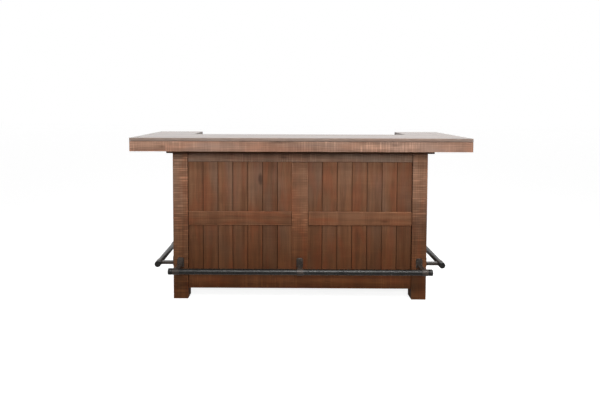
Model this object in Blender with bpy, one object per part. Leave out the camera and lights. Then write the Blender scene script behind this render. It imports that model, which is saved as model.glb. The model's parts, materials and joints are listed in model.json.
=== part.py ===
"""Bar counter: a U-shaped top on a planked body, with iron foot rails and storage at the back.

Metres, +Z up. The origin is on the floor below the middle of the top. Guests stand at -Y, where
the planked front and the long foot rail are, and the bartender stands at +Y.
"""

import math

import bmesh
import bpy
from mathutils import Matrix, Vector

# Clearance between pieces that touch, and the small flat planed along each wooden edge
FIT = 0.0003
ARRIS = 0.0025
TOP_ARRIS = 0.004

# The top: boards on a ring of edge strips, with a notch at the back for the bartender
TOTAL_HEIGHT = 1.067
TOP_WIDTH = 2.080
TOP_DEPTH = 0.800
FRONT_BOARD_DEPTH = 0.425
FRONT_OVERHANG = 0.205
BOARD_THICKNESS = 0.020
EDGE_STRIP_HEIGHT = 0.064
EDGE_STRIP_THICKNESS = 0.025
SUB_TOP_THICKNESS = 0.026
SUB_TOP_REACH = 0.033
SPACER_WIDTH = 0.060
SPACER_SETBACK = 0.0225

# The body: square corner posts with planked panels and an applied frame between them
BODY_WIDTH = 1.648
BODY_DEPTH = 0.550
POST_SIDE = 0.097
FLOOR_GAP = 0.070
BOTTOM_RAIL_HEIGHT = 0.098
MID_RAIL_HEIGHT = 0.089
MID_RAIL_UNDERSIDE = 0.487
TOP_RAIL_HEIGHT = 0.058
STILE_WIDTH = 0.104
FRAME_THICKNESS = 0.012
FRAME_RECESS = 0.004
PANEL_THICKNESS = 0.015
GROOVE_WIDTH = 0.005
GROOVE_DEPTH = 0.004
FRONT_PLANKS = 15
SIDE_PLANKS = 4

# The storage that faces the bartender
ROOM_OVER_WORKTOP = 0.057
WORKTOP_THICKNESS = 0.022
CARCASS_THICKNESS = 0.018
CENTRE_BAY_WIDTH = 0.460
SHELF_HEIGHT = 0.520
HOUSING_DEPTH = 0.006
BACK_RAIL_THICKNESS = 0.022

# Drawers, which slide on a board below them and are kept level by the worktop above
FRONT_GAP = 0.003
DRAWER_FRONT_HEIGHT = 0.1405
DRAWER_FRONT_THICKNESS = 0.018
DRAWER_BOX_DEPTH = 0.420
DRAWER_TOP_CLEARANCE = 0.003
DRAWER_SIDE_CLEARANCE = 0.002
DRAWER_WALL = 0.012
DRAWER_BOTTOM = 0.008

# Doors, whose stiles end in a wooden pintle at the top and one at the bottom
DOOR_THICKNESS = 0.020
DOOR_FRAME_WIDTH = 0.062
DOOR_PANEL_THICKNESS = 0.010
DOOR_PANEL_RECESS = 0.006
DOOR_PLANKS = 4
PINTLE_INSET = 0.025
PINTLE_RADIUS = 0.006
PINTLE_SEAT_DEPTH = 0.010
PINTLE_SIDES = 16

# Knobs: a round base, a neck, and a head that swells from the neck and ends in a shallow dome
KNOB_RADIUS = 0.015
KNOB_LENGTH = 0.027
KNOB_NECK_RADIUS = 0.006
KNOB_BASE_RADIUS = 0.010
KNOB_BASE_THICKNESS = 0.003
KNOB_SWELL_START = 0.012
KNOB_SWELL_END = 0.016
KNOB_ROUNDING = 0.004
KNOB_DOME_HEIGHT = 0.001
KNOB_SIDES = 20
KNOB_INSET = 0.031

# Foot rails
RAIL_HEIGHT = 0.2265
RAIL_REACH_FRONT = 0.142
RAIL_REACH_SIDE = 0.104
TUBE_RADIUS = 0.018
TUBE_WALL = 0.002
TUBE_SIDES = 24
CAP_RADIUS = 0.020
CAP_LENGTH = 0.024
CAP_ROUNDING = 0.004
CAP_THICKNESS = 0.003
VENT_RADIUS = 0.003
RING_RADIUS = 0.0205
RING_LENGTH = 0.040
BRACKET_PLATE_WIDTH = 0.044
BRACKET_PLATE_ABOVE = 0.0475
BRACKET_PLATE_BELOW = 0.0145
BRACKET_PLATE_THICKNESS = 0.008
BRACKET_CORNER_CUT = 0.008
ARM_WIDTH = 0.032
ARM_HEIGHT = 0.019

# Places worked out from the sizes above
TOP_LEFT = -TOP_WIDTH / 2
TOP_FRONT = -TOP_DEPTH / 2
TOP_BACK = TOP_DEPTH / 2
BOARD_UNDERSIDE = TOTAL_HEIGHT - BOARD_THICKNESS
STRIP_UNDERSIDE = BOARD_UNDERSIDE - EDGE_STRIP_HEIGHT
POST_TOP = STRIP_UNDERSIDE - SUB_TOP_THICKNESS
BODY_HALF = BODY_WIDTH / 2
BODY_FRONT = TOP_FRONT + FRONT_OVERHANG
BODY_BACK = BODY_FRONT + BODY_DEPTH
INNER_HALF = BODY_HALF - POST_SIDE
INNER_FRONT = BODY_FRONT + POST_SIDE
INNER_BACK = BODY_BACK - POST_SIDE
NOTCH_FRONT = TOP_FRONT + FRONT_BOARD_DEPTH
BOTTOM_RAIL_TOP = FLOOR_GAP + BOTTOM_RAIL_HEIGHT
MID_RAIL_TOP = MID_RAIL_UNDERSIDE + MID_RAIL_HEIGHT
TOP_RAIL_UNDERSIDE = POST_TOP - TOP_RAIL_HEIGHT
FRAME_BACK = FRAME_RECESS + FRAME_THICKNESS
PANEL_BACK = FRAME_BACK + FIT + PANEL_THICKNESS
INSIDE_FRONT = BODY_FRONT + PANEL_BACK + FIT
INSIDE_HALF = BODY_HALF - PANEL_BACK - FIT
FLOOR_BOARD_TOP = BOTTOM_RAIL_TOP + FIT + CARCASS_THICKNESS
WORKTOP_HEIGHT = POST_TOP - ROOM_OVER_WORKTOP
WORKTOP_UNDERSIDE = WORKTOP_HEIGHT - WORKTOP_THICKNESS
DIVIDER_INNER = CENTRE_BAY_WIDTH / 2
DIVIDER_OUTER = DIVIDER_INNER + CARCASS_THICKNESS
SIDE_BAY_WIDTH = INNER_HALF - DIVIDER_OUTER
SIDE_BAY_MIDDLE = (INNER_HALF + DIVIDER_OUTER) / 2
DRAWER_TOP = WORKTOP_UNDERSIDE - FRONT_GAP
DRAWER_UNDERSIDE = DRAWER_TOP - DRAWER_FRONT_HEIGHT
DRAWER_BOARD_TOP = DRAWER_UNDERSIDE - FRONT_GAP
DRAWER_BOARD_UNDERSIDE = DRAWER_BOARD_TOP - CARCASS_THICKNESS
DOOR_TOP = DRAWER_BOARD_UNDERSIDE - FRONT_GAP
DOOR_UNDERSIDE = FLOOR_BOARD_TOP + FRONT_GAP
DOOR_HALF_WIDTH = SIDE_BAY_WIDTH / 2 - FRONT_GAP
PINTLE_X = INNER_HALF - FRONT_GAP - PINTLE_INSET
PINTLE_Y = BODY_BACK - DOOR_THICKNESS / 2

SIDES = {"left": -1, "right": 1}


def clear_scene():
    """Remove what is in the scene, so that the counter stands alone."""
    for old in list(bpy.data.objects):
        bpy.data.objects.remove(old)


def make_material(name, colour, roughness, metallic=0.0):
    """A Principled material in one colour."""
    material = bpy.data.materials.new(name)
    material.use_nodes = True
    shader = material.node_tree.nodes["Principled BSDF"]
    shader.inputs["Base Color"].default_value = (*colour, 1.0)
    shader.inputs["Roughness"].default_value = roughness
    shader.inputs["Metallic"].default_value = metallic
    material.diffuse_color = (*colour, 1.0)
    return material


def add_object(name, bm, material=None, pivot=None):
    """Turn a bmesh in world coordinates into an object whose origin is its middle or its pivot."""
    bmesh.ops.recalc_face_normals(bm, faces=bm.faces)
    corners = [vertex.co for vertex in bm.verts]
    low = Vector([min(corner[i] for corner in corners) for i in range(3)])
    high = Vector([max(corner[i] for corner in corners) for i in range(3)])
    origin = (low + high) / 2
    if pivot is not None:
        origin = pivot.location.copy()
    bmesh.ops.translate(bm, verts=bm.verts, vec=-origin)
    mesh = bpy.data.meshes.new(name)
    bm.to_mesh(mesh)
    bm.free()
    made = bpy.data.objects.new(name, mesh)
    bpy.context.scene.collection.objects.link(made)
    if pivot is None:
        made.location = origin
    else:
        made.parent = pivot
    if material is not None:
        mesh.materials.append(material)
    return made


def add_pivot(name, place):
    """An empty that a moving group hangs on, on the axis of its joint."""
    pivot = bpy.data.objects.new(name, None)
    pivot.location = place
    bpy.context.scene.collection.objects.link(pivot)
    return pivot


def extrude_into(bm, outline, path):
    """Add the closed solid that an outline of 3-D points sweeps along a straight path."""
    start = [bm.verts.new(point) for point in outline]
    end = [bm.verts.new(Vector(point) + Vector(path)) for point in outline]
    bm.faces.new(start)
    bm.faces.new(end)
    for i, here in enumerate(start):
        after = (i + 1) % len(start)
        bm.faces.new((here, start[after], end[after], end[i]))


def box_into(bm, low, high):
    """Add a box between its lowest and highest corner."""
    outline = [
        (low[0], low[1], low[2]),
        (high[0], low[1], low[2]),
        (high[0], high[1], low[2]),
        (low[0], high[1], low[2]),
    ]
    extrude_into(bm, outline, (0, 0, high[2] - low[2]))


def turn_into(bm, profile, place, direction, sides):
    """Add a turned solid: a profile of (distance along the axis, radius) spun about the axis."""
    spin = Vector((0, 0, 1)).rotation_difference(Vector(direction)).to_matrix().to_4x4()
    rings = []
    for along, radius in profile:
        if radius == 0:
            rings.append([bm.verts.new((0, 0, along))])
            continue
        angles = [2 * math.pi * i / sides for i in range(sides)]
        rings.append([bm.verts.new((radius * math.cos(a), radius * math.sin(a), along)) for a in angles])
    closed = len(rings[0]) > 1
    pairs = list(zip(rings, rings[1:]))
    if closed:
        pairs.append((rings[-1], rings[0]))
    for low_ring, high_ring in pairs:
        for i in range(sides):
            after = (i + 1) % sides
            if len(low_ring) == 1:
                bm.faces.new((low_ring[0], high_ring[i], high_ring[after]))
            elif len(high_ring) == 1:
                bm.faces.new((low_ring[i], low_ring[after], high_ring[0]))
            else:
                bm.faces.new((low_ring[i], low_ring[after], high_ring[after], high_ring[i]))
    made = [vertex for ring in rings for vertex in ring]
    bmesh.ops.transform(bm, matrix=Matrix.Translation(place) @ spin, verts=made)


def soften(made, width=ARRIS):
    """Plane a small flat along every edge."""
    bevel = made.modifiers.new("arris", "BEVEL")
    bevel.width = width
    bevel.segments = 1
    bevel.limit_method = "ANGLE"
    return made


def smooth(made):
    """Shade a turned piece smooth, with its real edges kept sharp."""
    made.data.shade_smooth()
    made.data.set_sharp_from_angle(angle=math.radians(35))
    return made


def board(name, low, high, material, width=ARRIS, pivot=None):
    """A sawn board between two corners, with softened edges."""
    bm = bmesh.new()
    box_into(bm, low, high)
    return soften(add_object(name, bm, material, pivot), width)


def add_cutter(name, bm, pivot=None):
    """A shape that is cut out of a piece and isn't part of the counter."""
    cutter = add_object(name, bm, None, pivot)
    cutter.hide_render = True
    cutter.display_type = "WIRE"
    return cutter


def combine(made, other, operation):
    """Cut another shape out of a piece, or join it on."""
    boolean = made.modifiers.new(operation.lower(), "BOOLEAN")
    boolean.operation = operation
    boolean.solver = "EXACT"
    boolean.object = other


def build_top(wood):
    """The top's three boards, and the eight strips that are mitred round their edge from below."""
    boards = {
        "top_board_front": ((TOP_LEFT, TOP_FRONT), (-TOP_LEFT, NOTCH_FRONT)),
        "top_board_left_wing": ((TOP_LEFT, NOTCH_FRONT + FIT), (-INNER_HALF, TOP_BACK)),
        "top_board_right_wing": ((INNER_HALF, NOTCH_FRONT + FIT), (-TOP_LEFT, TOP_BACK)),
    }
    for name, (low, high) in boards.items():
        board(name, (*low, BOARD_UNDERSIDE), (*high, TOTAL_HEIGHT), wood, TOP_ARRIS)

    # The outline of the U, counter-clockwise seen from above, and the strip on each of its sides
    outline = [
        (TOP_LEFT, TOP_FRONT),
        (-TOP_LEFT, TOP_FRONT),
        (-TOP_LEFT, TOP_BACK),
        (INNER_HALF, TOP_BACK),
        (INNER_HALF, NOTCH_FRONT),
        (-INNER_HALF, NOTCH_FRONT),
        (-INNER_HALF, TOP_BACK),
        (TOP_LEFT, TOP_BACK),
    ]
    names = [
        "edge_strip_front",
        "edge_strip_right",
        "edge_strip_right_wing_end",
        "edge_strip_right_notch",
        "edge_strip_notch_front",
        "edge_strip_left_notch",
        "edge_strip_left_wing_end",
        "edge_strip_left",
    ]
    corners = [Vector(point) for point in outline]
    count = len(corners)
    runs = [(corners[(i + 1) % count] - corners[i]).normalized() for i in range(count)]
    inward = [Vector((-run.y, run.x)) for run in runs]
    insides = [corners[i] + (inward[i - 1] + inward[i]) * EDGE_STRIP_THICKNESS for i in range(count)]
    for i, name in enumerate(names):
        after = (i + 1) % count
        step = runs[i] * FIT
        quad = [corners[i] + step, corners[after] - step, insides[after] - step, insides[i] + step]
        bm = bmesh.new()
        low = [(point.x, point.y, STRIP_UNDERSIDE) for point in quad]
        extrude_into(bm, low, (0, 0, EDGE_STRIP_HEIGHT - FIT))
        soften(add_object(name, bm, wood))


def u_outline(outer_half, front, inner_half, inner_front, back):
    """The outline of a U that is open towards the back."""
    return [
        (-outer_half, front),
        (outer_half, front),
        (outer_half, back),
        (inner_half, back),
        (inner_half, inner_front),
        (-inner_half, inner_front),
        (-inner_half, back),
        (-outer_half, back),
    ]


def build_sub_top(wood):
    """The glued-up frame below the boards: a flat U on the posts, and a narrower U standing on it."""
    reach_half = BODY_HALF + SUB_TOP_REACH
    reach_front = BODY_FRONT - SUB_TOP_REACH
    flat = bmesh.new()
    outline = u_outline(reach_half, reach_front, INNER_HALF, INNER_FRONT, BODY_BACK)
    low_z = POST_TOP + FIT
    extrude_into(flat, [(x, y, low_z) for x, y in outline], (0, 0, STRIP_UNDERSIDE - FIT - low_z))
    sub_top = soften(add_object("sub_top", flat, wood))

    outer_half = (reach_half + INNER_HALF + EDGE_STRIP_THICKNESS + SPACER_WIDTH) / 2
    front = (reach_front + INNER_FRONT - SPACER_WIDTH) / 2
    spacer = bmesh.new()
    inner_half = outer_half - SPACER_WIDTH
    back = TOP_BACK - EDGE_STRIP_THICKNESS - SPACER_SETBACK
    outline = u_outline(outer_half, front, inner_half, front + SPACER_WIDTH, back)
    low_z = STRIP_UNDERSIDE - SUB_TOP_THICKNESS / 2
    extrude_into(spacer, [(x, y, low_z) for x, y in outline], (0, 0, BOARD_UNDERSIDE - FIT - low_z))
    combine(sub_top, add_cutter("sub_top_spacer", spacer), "UNION")


def build_posts(wood):
    """Four square posts, which are also the feet."""
    for row, front in (("front", BODY_FRONT), ("rear", BODY_BACK - POST_SIDE)):
        for side, sign in SIDES.items():
            ends = sorted((sign * INNER_HALF, sign * BODY_HALF))
            low = (ends[0], front, 0)
            board(f"post_{row}_{side}", low, (ends[1], front + POST_SIDE, POST_TOP), wood)


def planked_outline(length, planks, thickness):
    """A board's cross-section: a flat back, and a face with a V-groove between its planks."""
    outline = [(0, -thickness), (0, 0)]
    for i in range(1, planks):
        middle = length * i / planks
        outline += [
            (middle - GROOVE_WIDTH / 2, 0),
            (middle, -GROOVE_DEPTH),
            (middle + GROOVE_WIDTH / 2, 0),
        ]
    return outline + [(length, 0), (length, -thickness)]


def planked_board(name, start, run, outward, sizes, planks, material, pivot=None):
    """An upright planked board from a corner on its face, where sizes is length, thickness, height."""
    length, thickness, height = sizes
    run = Vector(run)
    outward = Vector(outward)
    flat = planked_outline(length, planks, thickness)
    points = [Vector(start) + run * along + outward * out for along, out in flat]
    bm = bmesh.new()
    extrude_into(bm, points, (0, 0, height))
    return add_object(name, bm, material, pivot)


def build_front(frame_wood, plank_wood):
    """One planked panel between the front posts, with a frame applied to its face."""
    panel_y = BODY_FRONT + FRAME_BACK + FIT
    half = INNER_HALF - FIT
    height = POST_TOP - FLOOR_GAP
    sizes = (2 * half, PANEL_THICKNESS, height)
    start = (-half, panel_y, FLOOR_GAP)
    planked_board("panel_front", start, (1, 0, 0), (0, -1, 0), sizes, FRONT_PLANKS, plank_wood)

    front = BODY_FRONT + FRAME_RECESS
    back = BODY_FRONT + FRAME_BACK
    stile_half = STILE_WIDTH / 2
    board("rail_front_top", (-half, front, TOP_RAIL_UNDERSIDE), (half, back, POST_TOP), frame_wood)
    board("rail_front_bottom", (-half, front, FLOOR_GAP), (half, back, BOTTOM_RAIL_TOP), frame_wood)
    low = (-stile_half, front, BOTTOM_RAIL_TOP + FIT)
    board("stile_front", low, (stile_half, back, TOP_RAIL_UNDERSIDE - FIT), frame_wood)
    for side, sign in SIDES.items():
        ends = sorted((sign * (stile_half + FIT), sign * half))
        low = (ends[0], front, MID_RAIL_UNDERSIDE)
        board(f"rail_front_middle_{side}", low, (ends[1], back, MID_RAIL_TOP), frame_wood)


def build_ends(frame_wood, plank_wood):
    """The two ends of the body, each a planked panel with three applied rails."""
    front = INNER_FRONT + FIT
    back = INNER_BACK - FIT
    levels = {
        "bottom": (FLOOR_GAP, BOTTOM_RAIL_TOP),
        "middle": (MID_RAIL_UNDERSIDE, MID_RAIL_TOP),
        "top": (TOP_RAIL_UNDERSIDE, POST_TOP),
    }
    for side, sign in SIDES.items():
        panel_x = sign * (BODY_HALF - FRAME_BACK - FIT)
        sizes = (back - front, PANEL_THICKNESS, POST_TOP - FLOOR_GAP)
        start = (panel_x, front, FLOOR_GAP)
        planked_board(f"panel_{side}", start, (0, 1, 0), (sign, 0, 0), sizes, SIDE_PLANKS, plank_wood)
        ends = sorted((sign * (BODY_HALF - FRAME_BACK), sign * (BODY_HALF - FRAME_RECESS)))
        for level, (low_z, high_z) in levels.items():
            board(f"rail_{side}_{level}", (ends[0], front, low_z), (ends[1], back, high_z), frame_wood)


def between_posts_outline(back, inset):
    """The outline of a level board that fills the body and is notched round its four posts."""
    quarter = [
        (INNER_HALF - inset, back),
        (INNER_HALF - inset, INNER_BACK - FIT),
        (INSIDE_HALF, INNER_BACK - FIT),
        (INSIDE_HALF, INNER_FRONT + FIT),
        (INNER_HALF - inset, INNER_FRONT + FIT),
        (INNER_HALF - inset, INSIDE_FRONT),
    ]
    return quarter + [(-x, y) for x, y in reversed(quarter)]


def level_board(name, low_z, high_z, material):
    """A level board inside the body, notched round the posts."""
    bm = bmesh.new()
    outline = [(x, y, low_z) for x, y in between_posts_outline(BODY_BACK, FIT)]
    extrude_into(bm, outline, (0, 0, high_z - low_z))
    return soften(add_object(name, bm, material))


def build_carcass(wood):
    """The shelving that the bartender uses: a floor, a worktop, two dividers, a shelf and two boards."""
    floor_board = level_board("floor_board", FLOOR_BOARD_TOP - CARCASS_THICKNESS, FLOOR_BOARD_TOP, wood)
    level_board("worktop", WORKTOP_UNDERSIDE, WORKTOP_HEIGHT, wood)
    half = INNER_HALF - FIT
    back = BODY_BACK - FRAME_RECESS
    low = (-half, back - BACK_RAIL_THICKNESS, FLOOR_GAP)
    board("rail_rear_bottom", low, (half, back, BOTTOM_RAIL_TOP), wood)

    # The shelf's ends slide into housings cut across the dividers
    shelf_half = DIVIDER_INNER + HOUSING_DEPTH
    shelf_low = SHELF_HEIGHT - CARCASS_THICKNESS
    shelf_back = BODY_BACK - DRAWER_FRONT_THICKNESS
    board("shelf", (-shelf_half, INSIDE_FRONT, shelf_low), (shelf_half, shelf_back, SHELF_HEIGHT), wood)
    bm = bmesh.new()
    low = (-shelf_half - FIT, INSIDE_FRONT - CARCASS_THICKNESS, shelf_low - FIT)
    box_into(bm, low, (shelf_half + FIT, shelf_back + FIT, SHELF_HEIGHT + FIT))
    housings = add_cutter("cut_shelf_housings", bm)

    # The seats that the doors' pintles turn in, in the floor board and in the drawer boards
    bm = bmesh.new()
    seat_depth = PINTLE_SEAT_DEPTH + FIT
    seat_radius = PINTLE_RADIUS + FIT
    seat = [(-FRONT_GAP, 0), (-FRONT_GAP, seat_radius), (seat_depth, seat_radius), (seat_depth, 0)]
    for sign in SIDES.values():
        turn_into(bm, seat, (sign * PINTLE_X, PINTLE_Y, FLOOR_BOARD_TOP), (0, 0, -1), PINTLE_SIDES)
        turn_into(bm, seat, (sign * PINTLE_X, PINTLE_Y, DRAWER_BOARD_UNDERSIDE), (0, 0, 1), PINTLE_SIDES)
    seats = add_cutter("cut_pintle_seats", bm)
    combine(floor_board, seats, "DIFFERENCE")

    for side, sign in SIDES.items():
        ends = sorted((sign * DIVIDER_INNER, sign * DIVIDER_OUTER))
        low = (ends[0], INSIDE_FRONT, FLOOR_BOARD_TOP + FIT)
        divider = board(f"divider_{side}", low, (ends[1], BODY_BACK, WORKTOP_UNDERSIDE - FIT), wood)
        combine(divider, housings, "DIFFERENCE")
        ends = sorted((sign * (DIVIDER_OUTER + FIT), sign * (INNER_HALF - FIT)))
        low = (ends[0], INSIDE_FRONT, DRAWER_BOARD_UNDERSIDE)
        drawer_board = board(f"drawer_board_{side}", low, (ends[1], BODY_BACK, DRAWER_BOARD_TOP), wood)
        combine(drawer_board, seats, "DIFFERENCE")


def knob_into(bm, place):
    """A turned knob on a face that looks to +Y."""
    rim = KNOB_LENGTH - KNOB_DOME_HEIGHT
    profile = [
        (FIT, 0),
        (FIT, KNOB_BASE_RADIUS),
        (KNOB_BASE_THICKNESS, KNOB_BASE_RADIUS),
        (KNOB_BASE_THICKNESS, KNOB_NECK_RADIUS),
        (KNOB_SWELL_START, KNOB_NECK_RADIUS),
        (KNOB_SWELL_END, KNOB_RADIUS),
        (rim - KNOB_ROUNDING, KNOB_RADIUS),
        (rim, KNOB_RADIUS - KNOB_ROUNDING),
        (KNOB_LENGTH, 0),
    ]
    turn_into(bm, profile, place, (0, 1, 0), KNOB_SIDES)


def build_drawers(wood, iron):
    """Two drawers, each an open box behind a front with a knob."""
    front_y = BODY_BACK - DRAWER_FRONT_THICKNESS
    box_front = front_y - FIT
    box_back = box_front - DRAWER_BOX_DEPTH
    box_low = DRAWER_BOARD_TOP + FIT
    box_high = WORKTOP_UNDERSIDE - DRAWER_TOP_CLEARANCE
    box_half = SIDE_BAY_WIDTH / 2 - DRAWER_SIDE_CLEARANCE
    front_half = SIDE_BAY_WIDTH / 2 - FRONT_GAP
    for side, sign in SIDES.items():
        middle = sign * SIDE_BAY_MIDDLE
        pivot = add_pivot(f"drawer_{side}_slide", (middle, BODY_BACK, DRAWER_UNDERSIDE))
        low = (middle - front_half, front_y, DRAWER_UNDERSIDE)
        board(f"drawer_{side}_front", low, (middle + front_half, BODY_BACK, DRAWER_TOP), wood, ARRIS, pivot)

        low = (middle - box_half, box_back, box_low)
        high = (middle + box_half, box_front, box_high)
        drawer_box = board(f"drawer_{side}_box", low, high, wood, ARRIS / 2, pivot)
        bm = bmesh.new()
        low = (middle - box_half + DRAWER_WALL, box_back + DRAWER_WALL, box_low + DRAWER_BOTTOM)
        high = (middle + box_half - DRAWER_WALL, box_front - DRAWER_WALL, WORKTOP_UNDERSIDE)
        box_into(bm, low, high)
        combine(drawer_box, add_cutter(f"cut_drawer_{side}", bm, pivot), "DIFFERENCE")

        bm = bmesh.new()
        knob_into(bm, (middle, BODY_BACK, (DRAWER_UNDERSIDE + DRAWER_TOP) / 2))
        smooth(add_object(f"drawer_{side}_knob", bm, iron, pivot))


def build_doors(frame_wood, plank_wood, iron):
    """Two doors below the drawers, each a frame round a planked panel, turning on its pintles."""
    inner_height = DOOR_TOP - DOOR_UNDERSIDE - 2 * DOOR_FRAME_WIDTH
    inner_half = DOOR_HALF_WIDTH - DOOR_FRAME_WIDTH
    inner_low = DOOR_UNDERSIDE + DOOR_FRAME_WIDTH
    inside_y = BODY_BACK - DOOR_THICKNESS
    reach = FRONT_GAP + PINTLE_SEAT_DEPTH
    pintle = [(-PINTLE_INSET, 0), (-PINTLE_INSET, PINTLE_RADIUS), (reach, PINTLE_RADIUS), (reach, 0)]
    for side, sign in SIDES.items():
        middle = sign * SIDE_BAY_MIDDLE
        place = (sign * PINTLE_X, PINTLE_Y)
        pivot = add_pivot(f"door_{side}_hinge", (*place, DOOR_UNDERSIDE))
        low = (middle - DOOR_HALF_WIDTH, inside_y, DOOR_UNDERSIDE)
        high = (middle + DOOR_HALF_WIDTH, BODY_BACK, DOOR_TOP)
        frame = board(f"door_{side}_frame", low, high, frame_wood, ARRIS / 2, pivot)
        bm = bmesh.new()
        low = (middle - inner_half, inside_y - DOOR_THICKNESS, inner_low)
        box_into(bm, low, (middle + inner_half, BODY_BACK + DOOR_THICKNESS, inner_low + inner_height))
        combine(frame, add_cutter(f"cut_door_{side}", bm, pivot), "DIFFERENCE")
        bm = bmesh.new()
        turn_into(bm, pintle, (*place, DOOR_UNDERSIDE), (0, 0, -1), PINTLE_SIDES)
        turn_into(bm, pintle, (*place, DOOR_TOP), (0, 0, 1), PINTLE_SIDES)
        combine(frame, add_cutter(f"door_{side}_pintles", bm, pivot), "UNION")

        start = (middle - inner_half + FIT, BODY_BACK - DOOR_PANEL_RECESS, inner_low + FIT)
        sizes = (2 * (inner_half - FIT), DOOR_PANEL_THICKNESS, inner_height - 2 * FIT)
        panel = f"door_{side}_panel"
        planked_board(panel, start, (1, 0, 0), (0, 1, 0), sizes, DOOR_PLANKS, plank_wood, pivot)

        knob_x = middle - sign * (DOOR_HALF_WIDTH - KNOB_INSET)
        bm = bmesh.new()
        knob_into(bm, (knob_x, BODY_BACK, (DOOR_UNDERSIDE + DOOR_TOP) / 2))
        smooth(add_object(f"door_{side}_knob", bm, iron, pivot))


def bracket_mesh(reach):
    """One bracket: a wall plate in the plane y = 0, an arm along -Y and a ring round the rail."""
    half = BRACKET_PLATE_WIDTH / 2
    cut = BRACKET_CORNER_CUT
    top = BRACKET_PLATE_ABOVE
    bottom = -BRACKET_PLATE_BELOW
    outline = [
        (-half, bottom),
        (half, bottom),
        (half, top - cut),
        (half - cut, top),
        (cut - half, top),
        (-half, top - cut),
    ]
    plate = bmesh.new()
    extrude_into(plate, [(x, -FIT, z) for x, z in outline], (0, -BRACKET_PLATE_THICKNESS, 0))
    body = add_object("bracket_body", plate)

    arm = bmesh.new()
    low = (-ARM_WIDTH / 2, -reach, -ARM_HEIGHT / 2)
    box_into(arm, low, (ARM_WIDTH / 2, -BRACKET_PLATE_THICKNESS / 2, ARM_HEIGHT / 2))
    ring = bmesh.new()
    ring_start = (-RING_LENGTH / 2, -reach, 0)
    ring_profile = [(0, 0), (0, RING_RADIUS), (RING_LENGTH, RING_RADIUS), (RING_LENGTH, 0)]
    turn_into(ring, ring_profile, ring_start, (1, 0, 0), TUBE_SIDES)
    bore = bmesh.new()
    bore_radius = TUBE_RADIUS + FIT
    bore_end = 2 * RING_LENGTH
    bore_profile = [(-RING_LENGTH, 0), (-RING_LENGTH, bore_radius), (bore_end, bore_radius), (bore_end, 0)]
    turn_into(bore, bore_profile, ring_start, (1, 0, 0), TUBE_SIDES)

    shapes = {"bracket_arm": arm, "bracket_ring": ring, "bracket_bore": bore}
    others = [add_object(name, shape) for name, shape in shapes.items()]
    for other, operation in zip(others, ("UNION", "UNION", "DIFFERENCE")):
        combine(body, other, operation)
    evaluated = body.evaluated_get(bpy.context.evaluated_depsgraph_get())
    mesh = bpy.data.meshes.new_from_object(evaluated)
    mesh.transform(body.matrix_world)
    for temporary in [body] + others:
        bpy.data.objects.remove(temporary)
    return mesh


def bracket(name, reach, place, turn, iron):
    """One bracket at its place on the wall, turned about the vertical."""
    mesh = bracket_mesh(reach)
    mesh.transform(Matrix.Translation(place) @ Matrix.Rotation(turn, 4, "Z"))
    bm = bmesh.new()
    bm.from_mesh(mesh)
    bpy.data.meshes.remove(mesh)
    smooth(add_object(name, bm, iron))


def foot_rail(name, middle, direction, half, iron):
    """A tube along a direction, closed at each end by a wider welded cap with a small vent."""
    inner = TUBE_RADIUS - TUBE_WALL
    ending = [
        (half - CAP_THICKNESS, inner),
        (half - CAP_THICKNESS, VENT_RADIUS),
        (half, VENT_RADIUS),
        (half, CAP_RADIUS - CAP_ROUNDING),
        (half - CAP_ROUNDING, CAP_RADIUS),
        (half - CAP_LENGTH, CAP_RADIUS),
        (half - CAP_LENGTH, TUBE_RADIUS),
    ]
    profile = ending + [(-along, radius) for along, radius in reversed(ending)]
    bm = bmesh.new()
    turn_into(bm, profile, middle, direction, TUBE_SIDES)
    smooth(add_object(name, bm, iron))


def build_foot_rails(iron):
    """A foot rail along the front and one at each end, with a bracket on every post and the stile."""
    post_middle = BODY_HALF - POST_SIDE / 2
    body_middle = (BODY_FRONT + BODY_BACK) / 2
    post_rows = {"front": BODY_FRONT + POST_SIDE / 2, "rear": BODY_BACK - POST_SIDE / 2}
    front = (0, BODY_FRONT - RAIL_REACH_FRONT, RAIL_HEIGHT)
    foot_rail("foot_rail_front", front, (1, 0, 0), BODY_HALF, iron)
    stile_face = (0, BODY_FRONT + FRAME_RECESS, RAIL_HEIGHT)
    bracket("bracket_front_middle", RAIL_REACH_FRONT + FRAME_RECESS, stile_face, 0, iron)
    for side, sign in SIDES.items():
        post_face = (sign * post_middle, BODY_FRONT, RAIL_HEIGHT)
        bracket(f"bracket_front_{side}", RAIL_REACH_FRONT, post_face, 0, iron)
        place = (sign * (BODY_HALF + RAIL_REACH_SIDE), body_middle, RAIL_HEIGHT)
        foot_rail(f"foot_rail_{side}", place, (0, 1, 0), BODY_DEPTH / 2, iron)
        for row, y in post_rows.items():
            place = (sign * BODY_HALF, y, RAIL_HEIGHT)
            bracket(f"bracket_{side}_{row}", RAIL_REACH_SIDE, place, sign * math.pi / 2, iron)


def main():
    """Build the whole counter."""
    clear_scene()
    top_wood = make_material("top_wood", (0.33, 0.20, 0.14), 0.45)
    frame_wood = make_material("frame_wood", (0.17, 0.085, 0.045), 0.5)
    plank_wood = make_material("plank_wood", (0.13, 0.065, 0.035), 0.5)
    carcass_wood = make_material("carcass_wood", (0.12, 0.06, 0.035), 0.55)
    iron = make_material("dark_iron", (0.04, 0.038, 0.036), 0.4, 0.9)
    build_top(top_wood)
    build_sub_top(carcass_wood)
    build_posts(frame_wood)
    build_front(frame_wood, plank_wood)
    build_ends(frame_wood, plank_wood)
    build_carcass(carcass_wood)
    build_drawers(frame_wood, iron)
    build_doors(frame_wood, plank_wood, iron)
    build_foot_rails(iron)


main()
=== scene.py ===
"""A bar counter of stained, rough-sawn wood with iron foot rails, seen from the guests' side."""

import json
import math

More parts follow.
